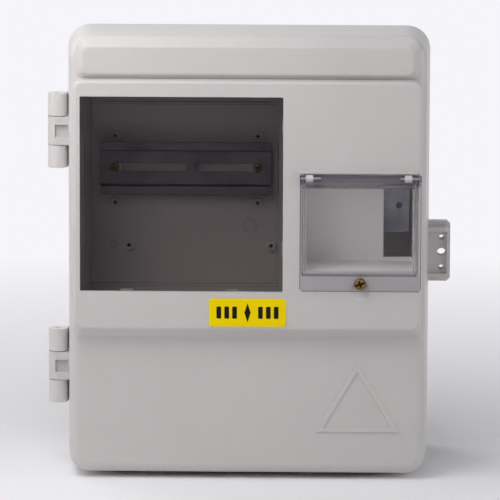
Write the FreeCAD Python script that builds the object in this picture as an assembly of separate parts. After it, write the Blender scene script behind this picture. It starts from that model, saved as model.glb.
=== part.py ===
import FreeCAD, Part
import math
import os

V = FreeCAD.Vector

# Wall box for an electricity meter and a breaker. X runs across the front, -Y points out of the
# door and +Z is up. The origin is the middle of the wall screw pattern, on the back plane.
# Names ending in _DOWN are distances below the top, and names ending in _H are heights above the base.

# Overall sizes in mm
BODY_W = 231.0
BODY_H = 288.0
BODY_D = 130.0
DOOR_D = 48.0
WALL = 2.6
SEAM_GAP = 0.3
DOOR_LIFT = 1.5
RUN_FIT = 0.05
FIXED_FIT = 0.02

# Door form
CORNER_TOP = 15.0
CORNER_BASE = 12.0
DOOR_DRAFT = 2.6
DOOR_EDGE_R = 6.5
LOWER_STEP = 9.0
FACE_SIDE = 5.75
FACE_LOW_DOWN = 188.8
FACE_HIGH_DOWN = 30.4
FACE_CORNER = 6.0
FACE_EDGE_R = 2.0
FACE_SLOPE = 7.0
FACE_DRAFT = 0.7
CORNICE_DROP = 4.6
CORNICE_SIDE = 11.0
CORNICE_LOW_DOWN = 26.8
CORNICE_HIGH_DOWN = 9.4
CORNICE_SLOPE_TOP = 6.2
CORNICE_SLOPE_SIDE = 4.0
CORNICE_SLOPE_LOW = 3.8
CORNICE_CORNER = 7.0
CORNICE_EDGE_R = 2.4

# Meter window
WIN_SIDE = 9.5
WIN_TO_FLAP = 10.6
WIN_ABOVE_STEP = 23.9
WIN_HIGH_DOWN = 40.4
WIN_CORNER = 0.8
PANE_T = 2.2
PANE_LAP = 4.0
PANE_LAP_LEFT = 0.8
PANE_INSET = 2.8
PANE_SUNK = 0.5
CLIP_W = 8.0
CLIP_FOOT = 4.0
CLIP_REACH = 5.0
CLIP_T = 1.5

# Clear flap
FLAP_SIDE = 5.5
FLAP_W = 76.9
FLAP_AXIS_DOWN = 91.4
FLAP_LEN = 72.6
FLAP_AXIS_OUT = 3.2
FLAP_BARREL_R = 2.4
FLAP_GAP = 0.3
FLAP_T = 2.0
FLAP_RISE = 8.0
FLAP_FLANGE = 10.8
FLAP_BOX_BELOW = 2.8
FLAP_BOX_LEFT = 1.1
FLAP_BOX_RIGHT = 2.6
FLAP_BOX_WALL = 1.8
FLAP_BOX_DRAFT = 0.8
FLAP_PAD_INSET = 3.0
FLAP_PAD_RISE = 0.8
FLAP_CORNER = 2.5
PIVOT_R = 1.25
PIVOT_LEN = 13.0
LUG_LEFT_OFF = 4.0
LUG_RIGHT_OFF = 6.2
LUG_W = 4.4
LUG_SIDE_GAP = 0.3
BROW_H = 2.5
BROW_END_H = 1.2
BROW_RISE = 3.0
BROW_GAP = 0.6
THUMB_R = 6.2
THUMB_DEEP = 1.6

# Sealing screw of the flap
SEAL_UP = 5.3
SEAL_SHANK_R = 1.9
SEAL_HEAD_R = 3.75
SEAL_HEAD_T = 2.2
SEAL_ENTRY = 2.7
SEAL_SWING_ROOM = 0.3
COLLAR_R = 4.8
INSERT_R = 3.0
INSERT_LEN = 6.0
INSERT_BOSS_WALL = 2.2
RETAINER_R = 3.5
RETAINER_T = 1.0

# Breaker pocket behind the flap
POCKET_IN_LEFT = 2.5
POCKET_IN_RIGHT = 3.0
POCKET_SILL_DOWN = 151.3
POCKET_BELOW_AXIS = 3.8
POCKET_WALL = 2.2
POCKET_DRAFT = 1.0
POCKET_DRAFT_RIGHT = 2.2
POCKET_CORNER = 2.0
POCKET_BACK_GAP = 2.8
MODULE_W = 18.3
MODULE_OPEN_H = 45.5
MODULE_SILL = 2.4

# Hinges at the left
HINGE_OUT = 6.7
HINGE_FORWARD = 3.0
KNUCKLE_R = 6.3
KNUCKLE_END_LEN = 14.4
KNUCKLE_MID_LEN = 18.2
KNUCKLE_GAP = 0.4
HINGE_PIN_R = 2.0
HINGE_PIN_SHORT = 1.0
HINGE_UPPER_DOWN = 68.0
HINGE_LOWER_H = 67.3
RECESS_HIGH = 8.0
RECESS_DEEP = 3.0
RECESS_PAST_AXIS = 1.6

# Closing ears at the right
EAR_DOWN = 145.5
EAR_REAR_HALF = 19.5
EAR_FRONT_HALF = 16.4
EAR_OUT = 13.9
EAR_FRONT_IN = 0.6
EAR_T = 6.0
EAR_CORNER = 2.2
EAR_RIB_W = 3.0
EAR_RIM_W = 1.8
EAR_RIB_RISE = 2.4
EAR_HOLE_OUT = 8.2
EAR_HOLE_R = 2.8
EAR_SEAL_HOLE_R = 1.75
EAR_SEAL_PITCH = 9.7

# Rear housing
HOUSING_SIDE_IN = 3.5
HOUSING_TOP_IN = 5.5
HOUSING_SIDE_DRAFT = 5.0
HOUSING_TOP_DRAFT = 12.5
HOUSING_CORNER = 11.0
HOUSING_BACK_R = 4.0
FLANGE_T = 3.0
FLANGE_IN = 1.5
GASKET_W = 2.6
GASKET_T = 2.2
GASKET_SIDE_GAP = 0.5
GASKET_BED = 0.4
LEDGE_T = 1.8
WALL_HOLE_R = 3.0
WALL_HOLE_SIDE = 30.5
WALL_HOLE_END = 34.0
WALL_COLLAR_R = 6.5
WALL_COLLAR_H = 3.0

# Rails inside
RAIL_W = 35.0
RAIL_HIGH = 7.5
RAIL_WEB = 25.0
RAIL_T = 1.0
RAIL_SHORT = 8.25
RAIL_SHIFT = -0.55
RAIL_MID_DOWN = 102.9
RAIL_SCREW_END = 9.2
RAIL_SLOT_W = 5.5
RAIL_SLOT_SHARE = 0.54
RAIL_SLOT_GAP = 6.4
RAIL_BOSS_R = 4.5
RAIL_BOSS_H = 8.0
RAIL_SCREW_R = 1.7
RAIL_SCREW_IN = 6.0
RAIL_HEAD_R = 3.1
RAIL_HEAD_T = 2.0
SPARE_BOSS_R = 3.2
SPARE_BOSS_H = 3.0
SPARE_HOLE_R = 1.3
SPARE_STEP_UP = 19.5
SPARE_STEP_DOWN = 24.5
SPARE_LOW_DOWN = 53.0
SPARE_LOW_SHIFT = 9.0
STRIP_PAST_POCKET = 5.6
STRIP_SHORT = 3.5
STRIP_MID_DOWN = 121.7
STRIP_T = 1.5
STRIP_OUT = 45.0
STRIP_CORNER = 3.0
STRIP_HOLE_R = 2.0
STRIP_HOLE_IN = 6.6
STRIP_POST_LEFT_IN = 12.0
STRIP_POST_RIGHT_IN = 23.5
POST_FOOT_R = 6.5
POST_TOP_R = 4.6

# Cable entries in the bottom wall
ENTRY_PITCH = 70.0
ENTRY_OUT = 42.0
ENTRY_HOLE_R = 11.0
ENTRY_RECESS_R = 16.0
ENTRY_RECESS_DEEP = 2.2
ENTRY_WALL = 3.0
ENTRY_BOSS_R = 19.0
GROMMET_BORE_R = 7.5
GROMMET_LIP_R = 15.2
GROMMET_LIP_T = 1.8
GROMMET_CAP_R = 14.5
GROMMET_CAP_T = 2.2

# Adhesive plate
LABEL_SHIFT = 0.35
LABEL_W = 48.9
LABEL_ABOVE_STEP = 1.7
LABEL_HIGH = 18.1
LABEL_T = 0.4
LABEL_CORNER = 2.0

# Derived planes and levels
HOUSING_D = BODY_D - DOOR_D
Y_SEAM = -HOUSING_D
Y_DOOR_BACK = Y_SEAM - SEAM_GAP
Y_MAIN = Y_SEAM - DOOR_D
Y_LOW = Y_MAIN + LOWER_STEP
Y_CORNICE = Y_MAIN + CORNICE_DROP
HALF_W = BODY_W / 2.0
TOP_Z = BODY_H / 2.0
FACE_HALF = HALF_W - FACE_SIDE
CORNICE_HALF = HALF_W - CORNICE_SIDE
FLAP_RIGHT = HALF_W - FLAP_SIDE
FLAP_LEFT = FLAP_RIGHT - FLAP_W
WIN_LEFT = -HALF_W + WIN_SIDE
WIN_RIGHT = FLAP_LEFT - WIN_TO_FLAP
POCKET_LEFT = FLAP_LEFT + POCKET_IN_LEFT
POCKET_RIGHT = FLAP_RIGHT - POCKET_IN_RIGHT
BASE_Z = -BODY_H / 2.0
DOOR_LOW_Z = BASE_Z + DOOR_LIFT
FACE_LOW_Z = TOP_Z - FACE_LOW_DOWN
FACE_HIGH_Z = TOP_Z - FACE_HIGH_DOWN
WIN_LOW_Z = FACE_LOW_Z + WIN_ABOVE_STEP
WIN_HIGH_Z = TOP_Z - WIN_HIGH_DOWN
HINGE_X = -HALF_W - HINGE_OUT
HINGE_Y = Y_SEAM - HINGE_FORWARD
HINGE_UPPER_Z = TOP_Z - HINGE_UPPER_DOWN
HINGE_LOWER_Z = BASE_Z + HINGE_LOWER_H
EAR_X = HALF_W + EAR_OUT
EAR_Z = TOP_Z - EAR_DOWN
EAR_HOLE_X = HALF_W + EAR_HOLE_OUT
FLAP_AXIS_Y = Y_MAIN - FLAP_AXIS_OUT
FLAP_AXIS_Z = TOP_Z - FLAP_AXIS_DOWN
FLAP_LOW_Z = FLAP_AXIS_Z - FLAP_LEN
FLAP_BOX_LOW_Z = FLAP_LOW_Z + FLAP_FLANGE
FLAP_BOX_HIGH_Z = FLAP_AXIS_Z - FLAP_BOX_BELOW
FLAP_MID_X = (FLAP_LEFT + FLAP_RIGHT) / 2.0
FLAP_BACK_Y = Y_MAIN - FLAP_GAP
FLAP_FACE_Y = FLAP_BACK_Y - FLAP_T
FLAP_PAD_Y = FLAP_FACE_Y - FLAP_PAD_RISE
SEAL_Z = FLAP_LOW_Z + SEAL_UP
INSERT_HOLE_R = SEAL_SHANK_R + SEAL_SWING_ROOM
POCKET_LOW_Z = TOP_Z - POCKET_SILL_DOWN
POCKET_HIGH_Z = FLAP_AXIS_Z - POCKET_BELOW_AXIS
POCKET_BACK_Y = Y_SEAM - POCKET_BACK_GAP
POCKET_FLOOR_Y = POCKET_BACK_Y - POCKET_WALL
RAIL_BACK_Y = -WALL - RAIL_BOSS_H
RAIL_Z = TOP_Z - RAIL_MID_DOWN
RAIL_LEN = WIN_RIGHT - WIN_LEFT - 2.0 * RAIL_SHORT
RAIL_MID_X = (WIN_LEFT + WIN_RIGHT) / 2.0 + RAIL_SHIFT
RAIL_SCREW_PITCH = RAIL_LEN - 2.0 * RAIL_SCREW_END
STRIP_BACK_Y = -STRIP_OUT
STRIP_Z = TOP_Z - STRIP_MID_DOWN
STRIP_LEFT = POCKET_LEFT - STRIP_PAST_POCKET
STRIP_RIGHT = POCKET_RIGHT - STRIP_SHORT
STRIP_HOLE_X = STRIP_RIGHT - STRIP_HOLE_IN
STRIP_POST_LEFT = STRIP_LEFT + STRIP_POST_LEFT_IN
STRIP_POST_RIGHT = STRIP_RIGHT - STRIP_POST_RIGHT_IN
GASKET_FRONT_Y = Y_SEAM - GASKET_T
GASKET_OUT = WALL + GASKET_SIDE_GAP
GASKET_IN = GASKET_OUT + GASKET_W
PANE_SEAT_Y = Y_MAIN + WALL
PANE_BACK_Y = PANE_SEAT_Y + PANE_T
ENTRY_SEAT = ENTRY_RECESS_DEEP + ENTRY_WALL
WALL_HOLE_X = BODY_W - 2.0 * WALL_HOLE_SIDE
WALL_HOLE_Z = BODY_H - 2.0 * WALL_HOLE_END
LABEL_LEFT = LABEL_SHIFT - LABEL_W / 2.0


def arc(start, middle, end):
    """Circular edge through three points."""
    return Part.Arc(start, middle, end).toShape()


def outline(x0, x1, z0, z1, r_low, r_high, y):
    """Closed outline in an XZ plane with rounded lower and upper corners."""
    k = 1.0 - math.sqrt(0.5)
    low = k * r_low
    high = k * r_high
    edges = [
        Part.makeLine(V(x0 + r_low, y, z0), V(x1 - r_low, y, z0)),
        arc(V(x1 - r_low, y, z0), V(x1 - low, y, z0 + low), V(x1, y, z0 + r_low)),
        Part.makeLine(V(x1, y, z0 + r_low), V(x1, y, z1 - r_high)),
        arc(V(x1, y, z1 - r_high), V(x1 - high, y, z1 - high), V(x1 - r_high, y, z1)),
        Part.makeLine(V(x1 - r_high, y, z1), V(x0 + r_high, y, z1)),
        arc(V(x0 + r_high, y, z1), V(x0 + high, y, z1 - high), V(x0, y, z1 - r_high)),
        Part.makeLine(V(x0, y, z1 - r_high), V(x0, y, z0 + r_low)),
        arc(V(x0, y, z0 + r_low), V(x0 + low, y, z0 + low), V(x0 + r_low, y, z0)),
    ]
    return Part.Wire(edges)


def plate(x0, x1, z0, z1, corner, y_back, y_front):
    """Flat plate with rounded corners between two Y planes."""
    face = Part.Face(outline(x0, x1, z0, z1, corner, corner, y_back))
    return face.extrude(V(0, y_front - y_back, 0))


def block(x0, x1, y0, y1, z0, z1):
    """Rectangular solid from its limits."""
    return Part.makeBox(x1 - x0, y1 - y0, z1 - z0, V(x0, y0, z0))


def drafted(front, back, y_front, y_back, r_low, r_high):
    """Solid with flat drafted sides between two rectangles, its four long edges rounded.

    Each rectangle is (x0, x1, z0, z1).
    """
    fx0, fx1, fz0, fz1 = front
    bx0, bx1, bz0, bz1 = back
    form = Part.makeWedge(fx0, y_front, fz0, bz0, bx0, fx1, y_back, fz1, bz1, bx1)
    middle = (fz0 + fz1) / 2.0
    for radius, side in ((r_low, -1), (r_high, 1)):
        if radius > 0:
            edges = [edge for edge in form.Edges
                     if edge.BoundBox.YLength > 0.5 * (y_back - y_front)
                     and side * (edge.CenterOfMass.z - middle) > 0
                     and edge.BoundBox.XLength < 0.2 * (fx1 - fx0)]
            form = form.makeFillet(radius, [edge for edge in edges if is_straight(edge)])
    return form


def is_straight(edge):
    """Whether an edge is a straight line."""
    return isinstance(edge.Curve, Part.Line)


def rod_y(x, z, radius, y_back, y_front):
    """Cylinder along Y from a back plane out to a front plane."""
    return Part.makeCylinder(radius, y_back - y_front, V(x, y_back, z), V(0, -1, 0))


def rod_x(x0, x1, y, z, radius):
    """Cylinder along X between two limits."""
    return Part.makeCylinder(radius, x1 - x0, V(x0, y, z), V(1, 0, 0))


def rod_z(x, y, z0, z1, radius):
    """Upright cylinder between two levels."""
    return Part.makeCylinder(radius, z1 - z0, V(x, y, z0))


def round_edges(shape, radius, wanted):
    """Fillet every edge that the test accepts."""
    edges = [edge for edge in shape.Edges if wanted(edge)]
    return shape.makeFillet(radius, edges)


def on_plane(y):
    """Test for edges that lie in the plane at y."""
    def wanted(edge):
        box = edge.BoundBox
        return abs(box.YMin - y) < 1e-4 and abs(box.YMax - y) < 1e-4
    return wanted


def turned(profile, x, y):
    """Solid of revolution about an upright axis, from (radius, z) points."""
    points = [V(x + r, y, z) for r, z in profile]
    points.append(points[0])
    face = Part.Face(Part.makePolygon(points))
    return face.revolve(V(x, y, 0), V(0, 0, 1), 360)


def turned_y(profile, x, z):
    """Solid of revolution about an axis along Y, from (radius, y) points."""
    points = [V(x + r, y, z) for r, y in profile]
    points.append(points[0])
    face = Part.Face(Part.makePolygon(points))
    return face.revolve(V(x, 0, z), V(0, 1, 0), 360)


def tray_form(inset):
    """Drafted tray of the door, moved inwards by inset."""
    half = HALF_W - inset
    z0 = DOOR_LOW_Z + inset
    z1 = TOP_Z - inset
    d = DOOR_DRAFT
    y_front = Y_LOW + inset
    front = (-half + d, half - d, z0 + d, z1 - d)
    form = drafted(front, (-half, half, z0, z1), y_front, Y_DOOR_BACK,
                   CORNER_BASE - inset, CORNER_TOP - inset)
    return round_edges(form, DOOR_EDGE_R - inset, on_plane(y_front))


def raised_form(inset):
    """Raised face of the door with its sloped lower edge, moved inwards by inset."""
    half = FACE_HALF - inset
    z0 = FACE_LOW_Z + 1.2 * inset
    z1 = FACE_HIGH_Z - inset
    y_front = Y_MAIN + inset
    depth = LOWER_STEP + DOOR_EDGE_R
    grow = FACE_DRAFT * depth / LOWER_STEP
    slope = FACE_SLOPE * depth / LOWER_STEP
    back = (-half - grow, half + grow, z0 - slope, z1 + grow)
    corner = FACE_CORNER - inset
    form = drafted((-half, half, z0, z1), back, y_front, y_front + depth, corner, corner)
    if inset == 0:
        form = round_edges(form, FACE_EDGE_R, on_plane(y_front))
    return form


def cornice_form(inset):
    """Pad across the top of the door with sloped sides, moved inwards by inset."""
    half = CORNICE_HALF - inset
    low = TOP_Z - CORNICE_LOW_DOWN + inset
    high = TOP_Z - CORNICE_HIGH_DOWN - inset
    front = Y_CORNICE + inset
    back = Y_LOW + DOOR_EDGE_R
    k = (back - front) / (Y_LOW - Y_CORNICE)
    side = CORNICE_SLOPE_SIDE
    low_back = low - k * CORNICE_SLOPE_LOW
    deep = (-half - k * side, half + k * side, low_back, high + k * CORNICE_SLOPE_TOP)
    corner = CORNICE_CORNER - inset
    pad = drafted((-half, half, low, high), deep, front, back, corner, corner)
    if inset == 0:
        pad = round_edges(pad, CORNICE_EDGE_R, on_plane(front))
    foot = plate(-half - side, half + side, low_back, high + CORNICE_SLOPE_TOP, corner, back, front - 1.0)
    return pad.common(foot)


def door_form(inset):
    """Whole outside of the door, moved inwards by inset."""
    return tray_form(inset).fuse([raised_form(inset), cornice_form(inset)])


def pocket_walls():
    """Walls and floor of the breaker pocket, before its cavity is cut."""
    w = POCKET_WALL
    return block(POCKET_LEFT - w, POCKET_RIGHT + w, Y_MAIN + 1.0, POCKET_BACK_Y,
                 POCKET_LOW_Z - w, POCKET_HIGH_Z + w)


def pocket_cavity():
    """Drafted space in front of the pocket floor with a level sill, and the opening for one module."""
    right = POCKET_RIGHT - POCKET_DRAFT_RIGHT
    floor = (POCKET_LEFT + POCKET_DRAFT, right, POCKET_LOW_Z, POCKET_HIGH_Z - POCKET_DRAFT)
    mouth = (POCKET_LEFT, POCKET_RIGHT, POCKET_LOW_Z, POCKET_HIGH_Z)
    space = drafted(mouth, floor, Y_MAIN - 1.0, POCKET_FLOOR_Y, POCKET_CORNER, POCKET_CORNER)
    low = POCKET_LOW_Z + MODULE_SILL
    module = block(right - MODULE_W, right, POCKET_FLOOR_Y - 1.0, POCKET_BACK_Y + 1.0,
                   low, low + MODULE_OPEN_H)
    return space.fuse(module)


def ring_outline(inset, y):
    """Door outline at the seam, moved inwards by inset."""
    half = HALF_W - inset
    return outline(-half, half, DOOR_LOW_Z + inset, TOP_Z - inset,
                   CORNER_BASE - inset, CORNER_TOP - inset, y)


def ledge_ring():
    """Inner ledge of the door skirt that presses on the gasket."""
    y_back = GASKET_FRONT_Y - SEAM_GAP
    face = Part.Face(ring_outline(WALL - 1.0, y_back)).cut(Part.Face(ring_outline(GASKET_IN, y_back)))
    return face.extrude(V(0, -LEDGE_T, 0))


def knuckle_levels(middle):
    """Lower and upper limits of the three knuckles of one hinge, from the lowest up."""
    half = KNUCKLE_MID_LEN / 2.0
    end = half + KNUCKLE_GAP + KNUCKLE_END_LEN
    return [(middle - end, middle - half - KNUCKLE_GAP), (middle - half, middle + half),
            (middle + half + KNUCKLE_GAP, middle + end)]


def door_knuckle(middle):
    """Middle knuckle of a hinge with a flat front and a moulded recess, without its bore."""
    z0, z1 = knuckle_levels(middle)[1]
    barrel = rod_z(HINGE_X, HINGE_Y, z0, z1, KNUCKLE_R)
    front = HINGE_Y - KNUCKLE_R
    leaf = block(HINGE_X, -HALF_W + WALL / 2.0, front, Y_DOOR_BACK, z0, z1)
    half = RECESS_HIGH / 2.0
    recess = block(HINGE_X - RECESS_PAST_AXIS, -HALF_W, front - 1.0, front + RECESS_DEEP,
                   middle - half, middle + half)
    return barrel.fuse(leaf).cut(recess)


def housing_knuckles(middle):
    """Two outer knuckles of a hinge with the leaves that carry them, without their bores."""
    pieces = []
    levels = knuckle_levels(middle)
    for z0, z1 in (levels[0], levels[2]):
        pieces.append(rod_z(HINGE_X, HINGE_Y, z0, z1, KNUCKLE_R))
        pieces.append(block(HINGE_X, -HALF_W + FLANGE_IN + 2.0, Y_SEAM, HINGE_Y + KNUCKLE_R, z0, z1))
    return pieces


def ear_plate(half, x_out, y_back, y_front):
    """Closing ear with its outer corners cut off."""
    x0 = HALF_W - WALL
    c = EAR_CORNER
    points = [V(x0, y_back, EAR_Z - half), V(x_out - c, y_back, EAR_Z - half),
              V(x_out, y_back, EAR_Z - half + c), V(x_out, y_back, EAR_Z + half - c),
              V(x_out - c, y_back, EAR_Z + half), V(x0, y_back, EAR_Z + half)]
    face = Part.Face(Part.makePolygon(points + points[:1]))
    return face.extrude(V(0, y_front - y_back, 0))


def ear_holes(y_back, y_front):
    """Padlock hole and the two seal wire holes through an ear."""
    holes = [rod_y(EAR_HOLE_X, EAR_Z, EAR_HOLE_R, y_back, y_front)]
    for side in (-1, 1):
        holes.append(rod_y(EAR_HOLE_X, EAR_Z + side * EAR_SEAL_PITCH, EAR_SEAL_HOLE_R, y_back, y_front))
    return holes


def door_ear():
    """Front ear: a plate with a raised rim round its field."""
    back = Y_DOOR_BACK
    field = back - EAR_T
    front = field - EAR_RIB_RISE
    x_out = EAR_X - EAR_FRONT_IN
    ear = ear_plate(EAR_FRONT_HALF, x_out, back, front)
    half = EAR_FRONT_HALF - EAR_RIB_W
    hollow = block(HALF_W - DOOR_DRAFT, x_out - EAR_RIM_W, front - 1.0, field, EAR_Z - half, EAR_Z + half)
    return ear.cut([hollow] + ear_holes(back + 1.0, front - 1.0))


def lug_limits():
    """X limits of the two lugs that carry the flap."""
    left = FLAP_LEFT + LUG_LEFT_OFF
    right = FLAP_RIGHT - LUG_RIGHT_OFF - LUG_W
    return [(left, left + LUG_W), (right, right + LUG_W)]


def flap_lug(x0, x1):
    """Lug on the door face with a rounded nose and a bore for the pivot."""
    z = FLAP_AXIS_Z
    nose = rod_x(x0, x1, FLAP_AXIS_Y, z, FLAP_BARREL_R)
    foot = block(x0, x1, FLAP_AXIS_Y, Y_MAIN + WALL / 2.0, z - FLAP_BARREL_R, z + FLAP_BARREL_R)
    bore = rod_x(x0 - 1.0, x1 + 1.0, FLAP_AXIS_Y, z, PIVOT_R + RUN_FIT)
    return nose.fuse(foot).cut(bore)


def flap_brow():
    """Arched brow moulded on the door over the flap."""
    z = FLAP_AXIS_Z + FLAP_BARREL_R + BROW_GAP
    y = Y_MAIN + WALL / 2.0
    a = V(FLAP_LEFT, y, z)
    b = V(FACE_HALF - FACE_EDGE_R, y, z)
    high = V(0, 0, BROW_END_H)
    top = V((a.x + b.x) / 2.0, y, z + BROW_H)
    edges = [arc(a + high, top, b + high), Part.makeLine(b + high, b), Part.makeLine(b, a), Part.makeLine(a, a + high)]
    face = Part.Face(Part.Wire(edges))
    return face.extrude(V(0, -BROW_RISE - WALL / 2.0, 0))


def thumb_dish():
    """Shallow round dish below the flap for a thumb."""
    ball = (THUMB_R ** 2 + THUMB_DEEP ** 2) / (2.0 * THUMB_DEEP)
    return Part.makeSphere(ball, V(FLAP_MID_X, Y_MAIN + THUMB_DEEP - ball, FLAP_LOW_Z))


def door_shell():
    """Moulded door: shell, pocket, gasket ledge, knuckles, ear and the seats of the flap."""
    behind = Part.Face(ring_outline(WALL, Y_DOOR_BACK)).extrude(V(0, 5.0, 0))
    shell = door_form(0.0).cut(door_form(WALL).fuse(behind))
    boss = rod_y(FLAP_MID_X, SEAL_Z, INSERT_R + INSERT_BOSS_WALL, Y_MAIN + INSERT_LEN + 1.0, Y_MAIN + 1.0)
    extra = [pocket_walls(), ledge_ring(), boss, flap_brow(), door_ear()]
    extra.append(door_knuckle(HINGE_UPPER_Z))
    extra.append(door_knuckle(HINGE_LOWER_Z))
    for x0, x1 in lug_limits():
        extra.append(flap_lug(x0, x1))
    shell = shell.fuse(extra)
    window = plate(WIN_LEFT, WIN_RIGHT, WIN_LOW_Z, WIN_HIGH_Z, WIN_CORNER, PANE_SEAT_Y + 1.0, Y_MAIN - 1.0)
    cuts = [pocket_cavity(), window, thumb_dish()]
    cuts.append(rod_y(FLAP_MID_X, SEAL_Z, INSERT_R + FIXED_FIT, Y_MAIN + INSERT_LEN, Y_MAIN - 1.0))
    cuts.append(rod_z(HINGE_X, HINGE_Y, BASE_Z, TOP_Z, HINGE_PIN_R + RUN_FIT))
    return shell.cut(cuts).removeSplitter()


def tub():
    """Drafted tub with its flange, open to the front and level at the base."""
    half = HALF_W - HOUSING_SIDE_IN
    top = TOP_Z - HOUSING_TOP_IN
    side = HOUSING_SIDE_DRAFT
    slope = HOUSING_TOP_DRAFT
    front = (-half, half, BASE_Z, top)
    back = (-half + side, half - side, BASE_Z, top - slope)
    outer = drafted(front, back, Y_SEAM, 0.0, HOUSING_CORNER, HOUSING_CORNER)
    outer = round_edges(outer, HOUSING_BACK_R, on_plane(0.0))
    w = WALL
    front = (-half + w, half - w, BASE_Z + w, top - w)
    back = (-half + side + w, half - side - w, BASE_Z + w, top - slope - w)
    inner = drafted(front, back, Y_SEAM + FLANGE_T, -w, HOUSING_CORNER - w, HOUSING_CORNER - w)
    rim_half = HALF_W - FLANGE_IN
    rim = plate(-rim_half, rim_half, BASE_Z, TOP_Z - FLANGE_IN, CORNER_BASE, Y_SEAM + FLANGE_T, Y_SEAM)
    mouth = Part.Face(ring_outline(GASKET_IN + GASKET_BED, Y_SEAM + FLANGE_T))
    mouth = mouth.extrude(V(0, -FLANGE_T - 1.0, 0))
    return outer.fuse(rim).cut([inner, mouth])


def rail_screw_spots():
    """X and Z of the meter rail screws."""
    half = RAIL_SCREW_PITCH / 2.0
    return [(RAIL_MID_X - half, RAIL_Z), (RAIL_MID_X + half, RAIL_Z)]


def spare_spots():
    """X and Z of the spare pilot holes round the meter rail."""
    spots = []
    for x, z in rail_screw_spots():
        spots.append((x, z + SPARE_STEP_UP))
        spots.append((x, z - SPARE_STEP_DOWN))
        spots.append((x + SPARE_LOW_SHIFT, z - SPARE_LOW_DOWN))
    return spots


def strip_screw_spots():
    """X and Z of the posts that carry the breaker strip."""
    return [(STRIP_POST_LEFT, STRIP_Z), (STRIP_POST_RIGHT, STRIP_Z)]


def wall_spots():
    """X and Z of the four wall screw holes."""
    return [(sx * WALL_HOLE_X / 2.0, sz * WALL_HOLE_Z / 2.0) for sx in (-1, 1) for sz in (-1, 1)]


def entry_spots():
    """X of the three cable entries."""
    return [-ENTRY_PITCH, 0.0, ENTRY_PITCH]


def strip_post(x, z):
    """Tapered post under the breaker strip."""
    root = -WALL / 2.0
    return Part.makeCone(POST_FOOT_R, POST_TOP_R, STRIP_OUT + root, V(x, root, z), V(0, -1, 0))


def rear_housing():
    """Moulded tub with bosses, posts, cable entries, knuckles and ear."""
    body = tub()
    inside = -WALL / 2.0
    extra = [rod_y(x, z, RAIL_BOSS_R, inside, RAIL_BACK_Y) for x, z in rail_screw_spots()]
    extra += [rod_y(x, z, SPARE_BOSS_R, inside, -WALL - SPARE_BOSS_H) for x, z in spare_spots()]
    extra += [strip_post(x, z) for x, z in strip_screw_spots()]
    extra += [rod_y(x, z, WALL_COLLAR_R, inside, -WALL - WALL_COLLAR_H) for x, z in wall_spots()]
    for x in entry_spots():
        extra.append(rod_z(x, -ENTRY_OUT, BASE_Z + WALL / 2.0, BASE_Z + ENTRY_SEAT, ENTRY_BOSS_R))
    extra += housing_knuckles(HINGE_UPPER_Z)
    extra += housing_knuckles(HINGE_LOWER_Z)
    extra.append(ear_plate(EAR_REAR_HALF, EAR_X, Y_SEAM + EAR_T, Y_SEAM))
    body = body.fuse(extra)
    cuts = ear_holes(Y_SEAM + EAR_T + 1.0, Y_SEAM - 1.0)
    for spots, seat in ((rail_screw_spots(), RAIL_BACK_Y), (strip_screw_spots(), STRIP_BACK_Y)):
        deep = seat + RAIL_SCREW_IN + 0.5
        cuts += [rod_y(x, z, RAIL_SCREW_R + FIXED_FIT, deep, seat - 1.0) for x, z in spots]
    cuts += [rod_y(x, z, SPARE_HOLE_R, inside, -WALL - SPARE_BOSS_H - 1.0) for x, z in spare_spots()]
    cuts += [rod_y(x, z, WALL_HOLE_R, 1.0, -WALL - WALL_COLLAR_H - 1.0) for x, z in wall_spots()]
    for x in entry_spots():
        cuts.append(rod_z(x, -ENTRY_OUT, BASE_Z - 1.0, BASE_Z + ENTRY_RECESS_DEEP, ENTRY_RECESS_R))
        cuts.append(rod_z(x, -ENTRY_OUT, BASE_Z - 1.0, BASE_Z + ENTRY_SEAT + 1.0, ENTRY_HOLE_R))
    cuts.append(rod_z(HINGE_X, HINGE_Y, BASE_Z, TOP_Z, HINGE_PIN_R + FIXED_FIT))
    return body.cut(cuts).removeSplitter()


def door_gasket():
    """Seal ring bedded on the housing flange."""
    face = Part.Face(ring_outline(GASKET_OUT, Y_SEAM)).cut(Part.Face(ring_outline(GASKET_IN, Y_SEAM)))
    return face.extrude(V(0, -GASKET_T, 0))


def window_limits(inset):
    """Window opening as (x0, x1, z0, z1), moved inwards by inset."""
    return (WIN_LEFT + inset, WIN_RIGHT - inset, WIN_LOW_Z + inset, WIN_HIGH_Z - inset)


def meter_window():
    """Smoked pane: a flat flange behind the door face and a raised middle in the opening."""
    lap = PANE_LAP
    flange = plate(WIN_LEFT - PANE_LAP_LEFT, WIN_RIGHT + lap, WIN_LOW_Z - lap, WIN_HIGH_Z + lap,
                   WIN_CORNER, PANE_BACK_Y, PANE_SEAT_Y)
    front = Y_MAIN + PANE_SUNK
    raised = drafted(window_limits(PANE_INSET + 0.5), window_limits(PANE_INSET), front,
                     PANE_SEAT_Y + PANE_T / 2.0, WIN_CORNER, WIN_CORNER)
    x0, x1, z0, z1 = window_limits(PANE_INSET + PANE_T)
    hollow = plate(x0, x1, z0, z1, WIN_CORNER, PANE_BACK_Y + 1.0, front + PANE_T)
    return flange.fuse(raised).cut(hollow).removeSplitter()


def clip_profile(along, across, start):
    """Cleat that grips the pane edge, extruded from start; across points away from the pane."""
    near = PANE_LAP + 0.2
    far = near + CLIP_FOOT
    grip = PANE_BACK_Y + 0.1
    top = grip + CLIP_T
    steps = [(near, PANE_SEAT_Y), (far, PANE_SEAT_Y), (far, top), (near - CLIP_REACH, top),
             (near - CLIP_REACH, grip), (near, grip)]
    points = [start + across * u + V(0, y, 0) for u, y in steps]
    return Part.Face(Part.makePolygon(points + points[:1])).extrude(along * CLIP_W)


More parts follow.
